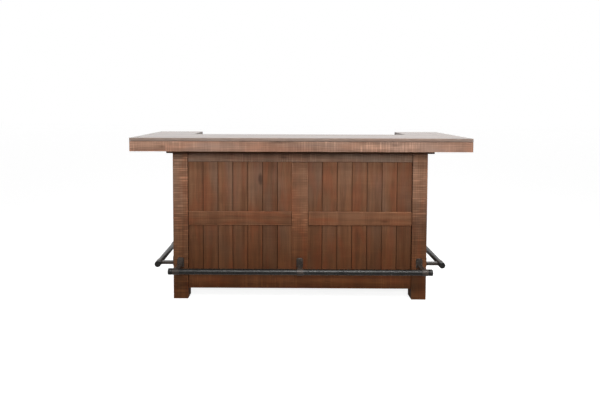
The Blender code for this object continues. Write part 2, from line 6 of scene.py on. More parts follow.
import bpy
import numpy as np
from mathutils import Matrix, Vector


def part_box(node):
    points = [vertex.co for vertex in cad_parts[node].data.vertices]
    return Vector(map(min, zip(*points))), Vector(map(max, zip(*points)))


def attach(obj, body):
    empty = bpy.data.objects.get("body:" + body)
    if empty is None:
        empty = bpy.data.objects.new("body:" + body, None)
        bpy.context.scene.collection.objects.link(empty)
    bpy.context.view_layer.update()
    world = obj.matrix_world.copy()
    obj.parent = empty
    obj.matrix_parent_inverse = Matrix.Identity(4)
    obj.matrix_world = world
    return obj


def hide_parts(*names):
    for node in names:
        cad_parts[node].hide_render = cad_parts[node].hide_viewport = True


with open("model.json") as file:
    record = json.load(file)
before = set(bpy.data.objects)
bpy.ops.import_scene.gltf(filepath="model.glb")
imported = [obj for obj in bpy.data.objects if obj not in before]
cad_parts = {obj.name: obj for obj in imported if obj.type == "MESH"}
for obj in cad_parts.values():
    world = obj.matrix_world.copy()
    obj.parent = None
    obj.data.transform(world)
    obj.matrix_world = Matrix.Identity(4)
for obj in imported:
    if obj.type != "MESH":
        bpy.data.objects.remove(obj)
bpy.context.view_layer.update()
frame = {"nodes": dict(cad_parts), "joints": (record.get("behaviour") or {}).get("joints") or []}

# Camera. It stands on the guests' side, a little left of the counter's middle and above its top, and
# looks slightly down. The lens axis meets the picture above and left of its centre, hence the shift.
PICTURE_WIDTH = 600
PICTURE_HEIGHT = 400
SENSOR_WIDTH = 36
FOCAL_LENGTH_PX = 512.4
LENS_AXIS_PX = (285.5, 131.9)
CAMERA_PLACE = (-0.0713, -3.4858, 1.2569)
CAMERA_PITCH = 0.0494
CAMERA_YAW = -0.0072
CAMERA_ROLL = 0.0027

camera = bpy.data.objects.new("camera", bpy.data.cameras.new("camera"))
camera.data.sensor_width = SENSOR_WIDTH
camera.data.lens = FOCAL_LENGTH_PX / PICTURE_WIDTH * SENSOR_WIDTH
camera.data.shift_x = (PICTURE_WIDTH / 2 - LENS_AXIS_PX[0]) / PICTURE_WIDTH
camera.data.shift_y = (LENS_AXIS_PX[1] - PICTURE_HEIGHT / 2) / PICTURE_WIDTH
camera.location = CAMERA_PLACE
camera.rotation_euler = (math.pi / 2 - CAMERA_PITCH, -CAMERA_ROLL, -CAMERA_YAW)
bpy.context.scene.collection.objects.link(camera)
bpy.context.scene.camera = camera

# Posts. Four square posts of rough-sawn pine stand on the floor and carry the top. The saw left ridges
# across them, the edges are rubbed round, and the brown stain is thinner where the wood stands proud.
EDGE_RADIUS = 0.0030
EDGE_STEPS = 3
EDGE_BAND = 0.004
EDGE_BAND_WEAR = 0.5
END_INSET = 0.9
END_WEAR = 0.7
GROOVE_SOFTNESS = 0.0012
GROOVE_LIP = 0.0004
GROOVE_LIP_WEAR = 0.4
GROOVE_LIP_STAIN = 0.5
PLANK_DROP = 0.0004
GRAIN_SPREAD = 7.0
NOISE_HEIGHTS = 4096
OUTLINE_SEED = 500
SHARP_DEGREES = 40
SAW_SPACING = 0.0155
SAW_START = 100
SAW_WANDER = 1.2
SAW_WANDER_LENGTH = 3
SAW_FADE = 22.0
SAW_LEAN = 0.015
SAW_DEPTH = 0.0009
RIDGE_STRIDE = 17.3
RIDGE_LOWEST = 0.1
STRETCH_LENGTH = 0.13
STRETCH_TURN = 3
STRETCH_START = 50
STRETCH_CONTRAST = 1.8
STRETCH_SHIFT = 0.3
STRETCH_FAINTEST = 0.3
ALONG_STEP = 0.003
ACROSS_STEP = 0.020
POST_SAW = 1.0
POST_KNOTS = {
    "post_front_left": ((0.50, 0.0, 0.17, 0.3, 0.26),),
    "post_front_right": ((0.50, 0.0, 0.17, 0.3, 0.45),),
}

piece_count = 0


def next_random():
    """A fresh random source for each piece, the same in every run."""
    global piece_count
    piece_count += 1
    return np.random.default_rng(piece_count)


def eased_noise(place, random):
    """Random heights at whole numbers, eased into each other in between with 3t^2 - 2t^3."""
    heights = random.random(NOISE_HEIGHTS)
    cell = np.floor(place).astype(int)
    share = place - cell
    ease = share * share * (3 - 2 * share)
    return heights[cell % NOISE_HEIGHTS] * (1 - ease) + heights[(cell + 1) % NOISE_HEIGHTS] * ease


def saw_ridges(along, across, through, random, strength):
    """What the saw left: ridges across a board, a squared cosine of the place along it, in spacings, which
    wanders a little. Each ridge has its own height, eased noise at its number, which changes on its way
    across. They lean a little, and they are strong in some stretches and faint in others. Gives 0 to 1
    on a ridge, times the strength."""
    lean = random.uniform(-SAW_LEAN, SAW_LEAN)
    place = (along + lean * (across + through)) / SAW_SPACING + SAW_START
    wandering = place + SAW_WANDER * eased_noise(place / SAW_WANDER_LENGTH, random)
    number = np.floor(wandering + 0.5)
    heights = eased_noise(RIDGE_STRIDE * number + SAW_FADE * (across - through), random)
    ridges = np.cos(math.pi * wandering) ** 2 * (RIDGE_LOWEST + (1 - RIDGE_LOWEST) * heights**2)
    stretches = eased_noise(along / STRETCH_LENGTH + across * STRETCH_TURN + STRETCH_START, random)
    return ridges * np.clip(stretches * STRETCH_CONTRAST - STRETCH_SHIFT, STRETCH_FAINTEST, 1) * strength


def board_section(
    width, depth, random, planks=1, face=None, groove=(0, 0), step=ACROSS_STEP, joints=(), radius=EDGE_RADIUS
):
    """The outline of a board's cross-section, counter-clockwise from its lowest corner: four sides with
    a quarter circle between each two. The side named face is cut into planks by V-grooves, and each
    plank lies a little lower or higher. The stain stayed dark in the grooves, and a painted shade darkens
    the corners named as joints, which are not rubbed pale. Gives points, outward directions, wear, plank
    numbers and seams, which hold the grooves' stain and the joints' painted shade."""
    corners = radius + (np.array([width, depth]) - 2 * radius) * np.array([(0, 0), (1, 0), (1, 1), (0, 1)])
    outward = np.array([(0, -1), (1, 0), (0, 1), (-1, 0)])
    points, directions, wear, seams = [], [], [], []
    for side in range(4):
        start, end = corners[side], corners[(side + 1) % 4]
        length = np.linalg.norm(end - start)
        count = max(2, round(length / step))
        places = np.linspace(0, length, count + 1)
        if length > 3 * EDGE_BAND:
            places = np.concatenate([[0, EDGE_BAND], places[1:-1], [length - EDGE_BAND, length]])
            places = np.sort(places)
        drops, worn, seam = np.zeros((3, len(places)))
        worn[[0, -1]] = EDGE_BAND_WEAR
        if side == face:
            pitch = (length + 2 * radius) / planks
            lows = random.uniform(0, PLANK_DROP, planks)
            half = groove[0] / 2
            cut_places = np.array([-half - GROOVE_SOFTNESS, -half, 0, half, half + GROOVE_SOFTNESS])
            cut_depths = (0, GROOVE_LIP, groove[1], GROOVE_LIP, 0)
            cut_wear = (0, GROOVE_LIP_WEAR, 0, GROOVE_LIP_WEAR, 0)
            cut_seams = (0, GROOVE_LIP_STAIN, 1, GROOVE_LIP_STAIN, 0)
            middles = pitch * np.arange(1, planks) - radius
            clear = np.min(np.abs(places[:, None] - middles[None, :]), axis=1) > half + 2 * GROOVE_SOFTNESS
            kept = np.stack([places, worn, drops, seam])[:, clear]
            cuts = [(middles[:, None] + cut_places).ravel()]
            cuts += [np.tile(values, planks - 1) for values in (cut_wear, cut_depths, cut_seams)]
            kept = np.concatenate([kept, cuts], axis=1)
            places, worn, drops, seam = kept[:, np.argsort(kept[0])]
            drops = drops + lows[np.clip((places + radius) // pitch, 0, planks - 1).astype(int)]
            drops[[0, -1]] = 0
        run = (end - start) / length
        points.append(start + places[:, None] * run + (radius - drops)[:, None] * outward[side])
        directions.append(np.tile(outward[side], (len(places), 1)))
        wear.append(worn)
        seams.append(seam)
        angles = np.linspace(0, math.pi / 2, EDGE_STEPS + 2)[1:-1]
        bend = np.cos(angles)[:, None] * outward[side] + np.sin(angles)[:, None] * outward[(side + 1) % 4]
        points.append(end + radius * bend)
        directions.append(bend)
        # A jointed corner is not rubbed pale and gets a painted shade.
        jointed = float(side in joints)
        wear.append(np.full(EDGE_STEPS, 1 - jointed))
        seams.append(np.full(EDGE_STEPS, jointed))
    points = np.concatenate(points)
    plank = np.zeros(len(points), int)
    if face is not None:
        spread = face % 2
        pitch = (width, depth)[spread] / planks
        plank = np.clip(points[:, spread] // pitch, 0, planks - 1).astype(int)
    return points, np.concatenate(directions), np.concatenate(wear), plank, np.concatenate(seams)


def put_mesh(name, rings, attributes, closed=False):
    """A mesh from a grid of points, one row for each ring. Its ends are closed by one face each, or the
    last ring joins the first."""
    count, around = rings.shape[:2]
    index = np.arange(count * around).reshape(count, around)
    low = index if closed else index[:-1]
    high = np.roll(index, -1, axis=0)[: len(low)]
    faces = np.stack([low, np.roll(low, -1, axis=1), np.roll(high, -1, axis=1), high], axis=-1)
    faces = faces.reshape(-1, 4).tolist()
    if not closed:
        faces += [index[0, ::-1].tolist(), index[-1].tolist()]
    mesh = bpy.data.meshes.new(name)
    mesh.from_pydata(rings.reshape(-1, 3).tolist(), [], faces)
    for attribute, values in attributes.items():
        kind = "FLOAT_VECTOR" if values.ndim == 3 else "FLOAT"
        made = mesh.attributes.new(attribute, kind, "POINT")
        made.data.foreach_set("vector" if values.ndim == 3 else "value", values.astype(np.float32).ravel())
    mesh.shade_smooth()
    mesh.set_sharp_from_angle(angle=math.radians(SHARP_DEGREES))
    piece = bpy.data.objects.new(name, mesh)
    bpy.context.scene.collection.objects.link(piece)
    return piece


def carry_section(
    name, section, place, axes, length, saw, slopes=(0, 0), end_radius=EDGE_RADIUS, end_seam=0.0, knots=()
):
    """Carry a cross-section along a straight run. Near both ends it shrinks along a quarter circle, so
    that the end's edges are round too. The saw's ridges lower it elsewhere. The slopes mitre the ends:
    the start moves by the first times the place across, and the end by the second. The ends are rubbed
    pale, or, where they butt against a post, darkened by a painted shade. Each knot is dark and fades
    outward as a bell curve. It is given by its places along and through the board, its reach both ways
    and its darkness."""
    points, directions, wear, plank, seams = section
    random = next_random()
    turn = np.linspace(0, math.pi / 2, EDGE_STEPS + 2)
    near = end_radius * (1 - np.cos(turn))
    inset = END_INSET * end_radius * (1 - np.sin(turn))
    count = max(2, round(length / ALONG_STEP))
    middle = np.linspace(end_radius, length - end_radius, count)[1:-1]
    along = np.concatenate([near, middle, length - near[::-1]])
    inset = np.concatenate([inset, np.zeros(len(middle)), inset[::-1]])
    across, through = points[:, 0], points[:, 1]
    ridges = saw_ridges(along[:, None], across[None, :], through[None, :], random, saw)
    sunk = inset[:, None] + SAW_DEPTH * (saw - ridges)
    flat = points[None] - sunk[..., None] * directions[None]
    start = slopes[0] * flat[..., 0]
    end = length + slopes[1] * flat[..., 0]
    run = start + (end - start) * (along / length)[:, None]
    local = np.concatenate([run[..., None], flat], axis=-1)
    rings = np.array(place) + local @ np.array(axes, float)
    offsets = random.uniform(-GRAIN_SPREAD, GRAIN_SPREAD, (plank.max() + 1, 3))
    tones = random.random(plank.max() + 1)
    ends = np.where((along < end_radius) | (along > length - end_radius), 1.0, 0.0)[:, None]
    # Painted shade at jointed corners and butted ends, taken together with the grooves' stain and the knots'
    # darkness.
    stain_and_joint_shade = np.maximum(seams[None, :], ends * end_seam)
    for knot_along, knot_through, reach_along, reach_through, darkness in knots:
        away = ((along[:, None] - knot_along) / reach_along) ** 2
        away = away + ((through[None, :] - knot_through) / reach_through) ** 2
        stain_and_joint_shade = np.maximum(stain_and_joint_shade, darkness * np.exp(-away))
    attributes = {
        "grain": local + offsets[plank][None],
        "sawn": ridges,
        "worn": np.maximum(wear[None, :] * (1 - ends * end_seam), ends * END_WEAR * (1 - end_seam)),
        "tone": np.broadcast_to(tones[plank][None, :], ridges.shape),
        "seam": stain_and_joint_shade,
    }
    return put_mesh(name, rings, attributes)


def give(piece, body, node, material):
    """The piece rides on a body, stands for a node of the frame, and takes its finish from a slot."""
    piece.data.materials.append(material)
    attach(piece, body)
    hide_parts(node)


def sawn_board(name, low, high, axis, saw=1.0, end_seam=0.0, knots=(), **section):
    """A board between two corners with its grain along an axis, in a frame that keeps X, Y, Z's order."""
    order = [axis, (axis + 1) % 3, (axis + 2) % 3]
    sizes = (np.array(high) - np.array(low))[order]
    random = np.random.default_rng(piece_count + OUTLINE_SEED)
    outline = board_section(sizes[1], sizes[2], random, **section)
    return carry_section(name, outline, low, np.eye(3)[order], sizes[0], saw, end_seam=end_seam, knots=knots)


def add_node(tree, kind, values=None, **settings):
    """A shader node with its settings. A socket's value is a number, a colour or what feeds it."""
    node = tree.nodes.new(kind)
    for setting, value in settings.items():
        setattr(node, setting, value)
    for socket, value in (values or {}).items():
        if isinstance(value, bpy.types.NodeSocket):
            tree.links.new(value, node.inputs[socket])
        else:
            node.inputs[socket].default_value = value
    return node


def calculate(tree, operation, first, second=0.0, third=0.0):
    """One step of arithmetic."""
    return add_node(tree, "ShaderNodeMath", {0: first, 1: second, 2: third}, operation=operation).outputs[0]


def fade(tree, value, low, high, to_low=0.0, to_high=1.0):
    """Ease a value from one range into another."""
    values = {0: value, 1: low, 2: high, 3: to_low, 4: to_high}
    return add_node(tree, "ShaderNodeMapRange", values, interpolation_type="SMOOTHSTEP").outputs[0]


def mix_colours(tree, share, first, second, blend="MIX"):
    """Mix two colours."""
    settings = {"data_type": "RGBA", "blend_type": blend}
    return add_node(tree, "ShaderNodeMix", {0: share, 6: first, 7: second}, **settings).outputs[2]


def stretched_place(tree, place, scales):
    """The place multiplied by a scale for each direction."""
    return add_node(tree, "ShaderNodeVectorMath", {0: place, 1: scales}, operation="MULTIPLY").outputs[0]


def stretched_noise(tree, place, scales, detail=3.0, distortion=0.0):
    """Noise with a scale for each direction. A low one along the grain draws it out there."""
    values = {"Vector": stretched_place(tree, place, scales), "Scale": 1.0}
    values.update({"Detail": detail, "Distortion": distortion})
    return add_node(tree, "ShaderNodeTexNoise", values).outputs[0]


SWAY_SCALES = (1.6, 5.0, 5.0)
SWAY_WIDTH = 0.024
FIBRE_SCALES = (9.0, 420.0, 420.0)
STREAK_SCALES = (1.5, 26.0, 26.0)
BLOTCH_SCALES = (4.0, 15.0, 15.0)
PATCH_SCALES = (2.2, 8.0, 8.0)
BAND_SCALES = (17.0, 1.5, 1.5)
RING_STRETCH = (0.35, 1.0, 1.0)
RINGS_PER_METRE = 24.0
KNOTS_PER_METRE = (2.6, 6.5, 6.5)
MOST_RED = 0.6
MOST_GREY = 0.6
TONE_LOWEST = 0.88
TONE_RANGE = 0.22
KNOT_LEVEL = 0.5
# How dark the seam input leaves the wood at most: the grooves' stain, the knots, and the painted shade at
# joints.
JOINT_LEVEL = 0.35
# Painted shade: at the floor the colour is multiplied by this, darker and redder, fading out up to HIGH_RISE.
LOW_PAINTED_SHADE = (0.45, 0.31, 0.17, 1)
LOW_RISE = 0.0
HIGH_RISE = 1.1


def add_outputs(tree):
    """What every look puts out."""
    tree.interface.new_socket("Color", in_out="OUTPUT", socket_type="NodeSocketColor")
    tree.interface.new_socket("Roughness", in_out="OUTPUT", socket_type="NodeSocketFloat")
    tree.interface.new_socket("Height", in_out="OUTPUT", socket_type="NodeSocketFloat")


def make_wood_look():
    """The group that every wood uses. Fine fibres and broad streaks run along the grain, growth rings
    bend round the board's heart, dark knots sit in them, and the stain is uneven, redder in some places
    and greyer in others. Ridges and rubbed edges show paler wood, faint bands lie across the grain, a
    painted shade darkens the joints, and another painted shade darkens and reddens the colour towards the
    floor."""
    tree = bpy.data.node_groups.new("stained_wood", "ShaderNodeTree")
    for name, kind, value in (
        ("Grain", "NodeSocketVector", None),
        ("Tone", "NodeSocketFloat", 0.5),
        ("Sawn", "NodeSocketFloat", 0.0),
        ("Worn", "NodeSocketFloat", 0.0),
        ("Seam", "NodeSocketFloat", 0.0),
        ("Rise", "NodeSocketFloat", 0.5),
        ("Pale", "NodeSocketColor", (0.3, 0.17, 0.1, 1)),
        ("Deep", "NodeSocketColor", (0.1, 0.05, 0.03, 1)),
        ("Red", "NodeSocketColor", (0.2, 0.07, 0.04, 1)),
        ("Grey", "NodeSocketColor", (0.2, 0.15, 0.12, 1)),
        ("Ridge light", "NodeSocketFloat", 0.5),
        ("Wear light", "NodeSocketFloat", 0.4),
    ):
        socket = tree.interface.new_socket(name, in_out="INPUT", socket_type=kind)
        if value is not None:
            socket.default_value = value
    add_outputs(tree)
    given = tree.nodes.new("NodeGroupInput").outputs
    grain = given["Grain"]

    # The coordinates bend a little along the grain, so that no fibre is quite straight
    sway = stretched_noise(tree, grain, SWAY_SCALES, 2.0)
    sway = calculate(tree, "MULTIPLY_ADD", sway, SWAY_WIDTH, -SWAY_WIDTH / 2)
    shift = add_node(tree, "ShaderNodeCombineXYZ", {0: 0.0, 1: sway, 2: sway}).outputs[0]
    bent = add_node(tree, "ShaderNodeVectorMath", {0: grain, 1: shift}, operation="ADD").outputs[0]

    fibres = stretched_noise(tree, bent, FIBRE_SCALES, 3.0)
    streaks = stretched_noise(tree, bent, STREAK_SCALES, 3.0, 0.6)
    blotches = stretched_noise(tree, bent, BLOTCH_SCALES, 3.0, 0.6)
    patches = stretched_noise(tree, bent, PATCH_SCALES, 2.0)
    place = stretched_place(tree, bent, RING_STRETCH)
    values = {"Vector": place, "Scale": RINGS_PER_METRE, "Distortion": 3.0}
    values.update({"Detail": 2.0, "Detail Scale": 1.2})
    rings = add_node(tree, "ShaderNodeTexWave", values, wave_type="RINGS", rings_direction="X").outputs["Fac"]
    place = stretched_place(tree, bent, KNOTS_PER_METRE)
    hearts = add_node(tree, "ShaderNodeTexVoronoi", {"Vector": place, "Scale": 1.0}, feature="F1").outputs
    chance = add_node(tree, "ShaderNodeSeparateColor", {0: hearts["Color"]}).outputs[0]
    knots = fade(tree, hearts["Distance"], 0.04, 0.16, 1.0, 0.0)
    knots = calculate(tree, "MULTIPLY", knots, fade(tree, chance, 0.5, 0.9))

    pattern = calculate(tree, "MULTIPLY_ADD", streaks, 0.85, calculate(tree, "MULTIPLY", rings, 0.1))
    pattern = calculate(tree, "MULTIPLY_ADD", fibres, 0.2, pattern)
    colour = mix_colours(tree, fade(tree, pattern, 0.2, 0.95), given["Deep"], given["Pale"])
    reds = fade(tree, blotches, 0.42, 0.7, 0.0, MOST_RED)
    colour = mix_colours(tree, reds, colour, given["Red"])
    greys = fade(tree, patches, 0.42, 0.72, 0.0, MOST_GREY)
    colour = mix_colours(tree, greys, colour, given["Grey"])
    brightness = calculate(tree, "MULTIPLY_ADD", given["Tone"], TONE_RANGE, TONE_LOWEST)
    brightness = calculate(tree, "MULTIPLY", brightness, fade(tree, fibres, 0.3, 0.7, 0.92, 1.07))
    brightness = calculate(tree, "MULTIPLY", brightness, fade(tree, knots, 0.0, 1.0, 1.0, KNOT_LEVEL))
    bands = stretched_noise(tree, grain, BAND_SCALES, 1.0)
    bands = calculate(tree, "MULTIPLY", fade(tree, bands, 0.3, 0.7, -0.11, 0.09), given["Ridge light"])
    brightness = calculate(tree, "ADD", brightness, bands)
    ridge = calculate(tree, "MULTIPLY", given["Sawn"], given["Ridge light"])
    brightness = calculate(tree, "ADD", brightness, ridge)
    rubbed = calculate(tree, "MULTIPLY", given["Worn"], given["Wear light"])
    brightness = calculate(tree, "ADD", brightness, rubbed)
    # The seam input darkens the wood: the grooves' stain, the knots, and painted shade at joints and butted
    # ends.
    jointed = fade(tree, given["Seam"], 0.0, 1.0, 1.0, JOINT_LEVEL)
    brightness = calculate(tree, "MULTIPLY", brightness, jointed)
    values = {0: brightness, 1: brightness, 2: brightness}
    grey_level = add_node(tree, "ShaderNodeCombineColor", values).outputs[0]
    colour = mix_colours(tree, 1.0, colour, grey_level, "MULTIPLY")
    # Painted shade: the colour grows darker and redder towards the floor, going by the height.
    low_painted_shade = fade(tree, given["Rise"], LOW_RISE, HIGH_RISE, 1.0, 0.0)
    colour = mix_colours(tree, low_painted_shade, colour, LOW_PAINTED_SHADE, "MULTIPLY")

    result = tree.nodes.new("NodeGroupOutput").inputs
    tree.links.new(colour, result["Color"])
    rough = fade(tree, pattern, 0.4, 1.0, 0.5, 0.66)
    tree.links.new(rough, result["Roughness"])
    height = calculate(tree, "MULTIPLY_ADD", fibres, 0.5, calculate(tree, "MULTIPLY", pattern, 0.6))
    height = calculate(tree, "SUBTRACT", height, calculate(tree, "MULTIPLY", knots, 0.4))
    tree.links.new(height, result["Height"])
    return tree


wood_look = make_wood_look()
WOOD_BUMP_DEPTH = 0.0006
WOOD_BUMP_STRENGTH = 0.6
LACQUER_ROUGHNESS = 0.22


def stained_wood(
    name, pale, deep, red, grey, ridge_light, wear_light=0.4, turned=None, gloss=0.15, lacquer=0.0
):
    """A stained wood, out of its pale and deep colours and those of its redder and greyer places. It reads
    the grain, tone, ridges, wear and seams that a piece's mesh carries, or on a plain board the object's
    own place, moved and turned so that the grain lies along the board."""
    material = bpy.data.materials.new(name)
    material.use_nodes = True
    tree = material.node_tree
    shader = tree.nodes["Principled BSDF"]
    look = add_node(tree, "ShaderNodeGroup", node_tree=wood_look)
    place = tree.nodes.new("ShaderNodeTexCoord").outputs["Object"]
    rise = add_node(tree, "ShaderNodeSeparateXYZ", {0: place}).outputs["Z"]
    tree.links.new(rise, look.inputs["Rise"])
    if turned is None:
        for attribute in ("grain", "tone", "sawn", "worn", "seam"):
            source = add_node(tree, "ShaderNodeAttribute", attribute_name=attribute)
            output = "Vector" if attribute == "grain" else "Fac"
            tree.links.new(source.outputs[output], look.inputs[attribute.title()])
    else:
        values = {"Vector": place, "Location": turned[0], "Rotation": turned[1]}
        turned_place = add_node(tree, "ShaderNodeMapping", values).outputs[0]
        tree.links.new(turned_place, look.inputs["Grain"])
    for socket, colour in (("Pale", pale), ("Deep", deep), ("Red", red), ("Grey", grey)):
        look.inputs[socket].default_value = (*colour, 1)
    look.inputs["Ridge light"].default_value = ridge_light
    look.inputs["Wear light"].default_value = wear_light
    values = {"Strength": WOOD_BUMP_STRENGTH, "Distance": WOOD_BUMP_DEPTH, "Height": look.outputs["Height"]}
    bump = add_node(tree, "ShaderNodeBump", values)
    tree.links.new(look.outputs["Color"], shader.inputs["Base Color"])
    tree.links.new(look.outputs["Roughness"], shader.inputs["Roughness"])
    tree.links.new(bump.outputs[0], shader.inputs["Normal"])
    shader.inputs["Specular IOR Level"].default_value = gloss
    shader.inputs["Coat Weight"].default_value = lacquer
    shader.inputs["Coat Roughness"].default_value = LACQUER_ROUGHNESS
    return material


FRAME_COLOURS = ((0.240, 0.127, 0.078), (0.116, 0.056, 0.032), (0.21, 0.077, 0.040), (0.18, 0.119, 0.086))
frame_wood = stained_wood("stained_frame_wood", *FRAME_COLOURS, 1.25, 0.3)

for row in ("front", "rear"):
    for side in ("left", "right"):
        node = f"post_{row}_{side}"
        low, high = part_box(node)
        piece = sawn_board(f"sawn_{node}", low, high, 2, POST_SAW, knots=POST_KNOTS.get(node, ()))
        give(piece, "counter", node, frame_wood)

# Planked panels. Narrow upright planks stand edge to edge between the posts, with a V-groove between
# each two, at the front and at both ends. They are planed, and each took the stain its own way.
PLANK_GROOVE = (0.005, 0.004)
PLANK_SAW = 0.25
PLANK_COLOURS = ((0.222, 0.110, 0.060), (0.094, 0.043, 0.023), (0.198, 0.067, 0.033), (0.156, 0.096, 0.068))
# Each panel's plank count, planked side, and the corners that get a painted shade where the panel meets the
# posts.
PANELS = {"panel_front": (15, 0, (0, 3)), "panel_left": (4, 3, (2, 3)), "panel_right": (4, 1, (0, 1))}

plank_wood = stained_wood("stained_plank_wood", *PLANK_COLOURS, 0.5)
for node, (planks, face, joints) in PANELS.items():
    low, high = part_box(node)
    outline = {"planks": planks, "face": face, "groove": PLANK_GROOVE, "joints": joints}
    piece = sawn_board(f"planks_{node}", low, high, 2, PLANK_SAW, **outline)
    give(piece, "counter", node, plank_wood)

# Rails and stile. Flat boards are glued on the panels: three across each end, and on the front a long
# one at the top and bottom, an upright one in the middle and a short one to each side of it. Those at
# the top are greyer. Each is given by its grain's axis, how rough it is sawn, and its jointed corners,
# which get a painted shade. Both ends of each get a painted shade where they butt against the next piece.
RAIL_COLOURS = ((0.232, 0.116, 0.066), (0.114, 0.052, 0.028), (0.213, 0.072, 0.035), (0.186, 0.100, 0.062))
GREYED_COLOURS = ((0.234, 0.144, 0.100), (0.114, 0.067, 0.045), (0.200, 0.092, 0.057), (0.182, 0.131, 0.101))
FINE_STEP = 0.006
TOP_RAIL_SAW = 0.45
MIDDLE_RAIL_SAW = 0.25
BOTTOM_RAIL_SAW = 0.6
STILE_SAW = 1.0
RAIL_KNOTS = {
    "rail_front_middle_right": ((0.495, 0.026, 0.030, 0.010, 0.6),),
    "rail_front_top": ((0.62, 0.03, 0.030, 0.010, 0.6),),
}
RAILS = {
    "rail_front_top": (0, TOP_RAIL_SAW, (3,)),
    "rail_front_bottom": (0, BOTTOM_RAIL_SAW, ()),
    "rail_front_middle_left": (0, MIDDLE_RAIL_SAW, ()),
    "rail_front_middle_right": (0, MIDDLE_RAIL_SAW, ()),
    "stile_front": (2, STILE_SAW, ()),
    "rail_left_top": (1, TOP_RAIL_SAW, (0,)),
    "rail_left_middle": (1, MIDDLE_RAIL_SAW, ()),
    "rail_left_bottom": (1, BOTTOM_RAIL_SAW, ()),
    "rail_right_top": (1, TOP_RAIL_SAW, (1,)),
    "rail_right_middle": (1, MIDDLE_RAIL_SAW, ()),
    "rail_right_bottom": (1, BOTTOM_RAIL_SAW, ()),
}

rail_wood = stained_wood("stained_rail_wood", *RAIL_COLOURS, 1.2, 0.6)
top_rail_wood = stained_wood("greyed_rail_wood", *GREYED_COLOURS, 1.1, 0.5)
for node, (axis, saw, joints) in RAILS.items():
    low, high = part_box(node)
    # An end_seam of 1 gives both ends a painted shade in place of rubbed wear.
    outline = {"end_seam": 1.0, "joints": joints, "knots": RAIL_KNOTS.get(node, ()), "step": FINE_STEP}
    piece = sawn_board(f"sawn_{node}", low, high, axis, saw, **outline)
    give(piece, "counter", node, top_rail_wood if "top" in node else rail_wood)

# Carcass. Planed boards make the floor, worktop, dividers, shelf, rear rail and the boards the drawers
# slide on, and a glued-up frame lies on the posts. They are stained but not sawn rough.
CARCASS_COLOURS = ((0.18, 0.085, 0.042), (0.065, 0.03, 0.015), (0.15, 0.052, 0.024), (0.12, 0.077, 0.05))
LYING = (0, 0, 0)
UPRIGHT = (0, math.pi / 2, 0)
CARCASS = {
    "floor_board": ((0.3, 0.7, 0.2), LYING),
    "worktop": ((2.3, 1.7, 0.5), LYING),
    "rail_rear_bottom": ((4.1, 2.7, 0.9), LYING),
    "shelf": ((5.2, 3.1, 1.4), LYING),
    "drawer_board_left": ((6.1, 4.4, 1.9), LYING),
    "drawer_board_right": ((7.7, 5.2, 2.6), LYING),
    "sub_top": ((8.3, 6.1, 3.3), LYING),
    "divider_left": ((9.1, 7.3, 4.2), UPRIGHT),
    "divider_right": ((3.1, 8.2, 5.4), UPRIGHT),
}

for node, turned in CARCASS.items():
    board = frame["nodes"][node]
    board.data.materials.clear()
    board.data.materials.append(stained_wood(f"stained_{node}", *CARCASS_COLOURS, 0.0, turned=turned))

# Top. Glued-up boards make a U, two wings on a long front board, and strips mitred at the corners hang
# below their edges, so that the edge looks as thick as a beam. It is paler than the body, and greyer.
STRIP_COLOURS = ((0.305, 0.178, 0.123), (0.078, 0.042, 0.029), (0.25, 0.122, 0.078), (0.19, 0.134, 0.109))
TOP_COLOURS = ((0.235, 0.160, 0.122), (0.125, 0.082, 0.062), (0.185, 0.110, 0.080), (0.19, 0.150, 0.128))
STAVE_GROOVE = (0.0012, 0.0008)
TOP_RADIUS = 0.0012
LACQUER_IOR = 1.46
TOP_WEAR_LIGHT = 0.1
TOP_GLOSS = 0.5
TOP_LACQUER = 0.85
TOP_SAW = 0.2
STRIP_SAW = 1.0
STRIP_RADIUS = 0.0018
# The strip's corner that gets a painted shade, where it meets the board above.
STRIP_JOINTS = (2,)
STRIP_KNOTS = {
    "edge_strip_front": (
        (0.20, 0.030, 0.030, 0.010, 0.6),
        (0.93, 0.057, 0.130, 0.007, 0.75),
        (1.08, 0.030, 0.420, 0.090, 0.42),
        (1.61, 0.041, 0.030, 0.010, 0.6),
    ),
}
STRIP_GAP = 0.0003
MITRE_RADIUS = 0.0008

strip_wood = stained_wood("stained_strip_wood", *STRIP_COLOURS, 0.85)
top_look = {"gloss": TOP_GLOSS, "lacquer": TOP_LACQUER}
top_wood = stained_wood("lacquered_top_wood", *TOP_COLOURS, 0.5, TOP_WEAR_LIGHT, **top_look)
top_wood.node_tree.nodes["Principled BSDF"].inputs["Coat IOR"].default_value = LACQUER_IOR
# Each board's grain axis, stave count, staved side, and the corner that gets a painted shade where the board
# meets the strip below.
TOP_BOARDS = {
    "top_board_front": (0, 4, 2, (3,)),
    "top_board_left_wing": (1, 3, 1, (3,)),
    "top_board_right_wing": (1, 3, 1, (2,)),
}
for node, (axis, staves, face, joints) in TOP_BOARDS.items():
    low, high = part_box(node)
    outline = {"planks": staves, "face": face, "groove": STAVE_GROOVE, "joints": joints, "radius": TOP_RADIUS}
    piece = sawn_board(f"staves_{node}", low, high, axis, TOP_SAW, **outline)
    give(piece, "counter", node, top_wood)

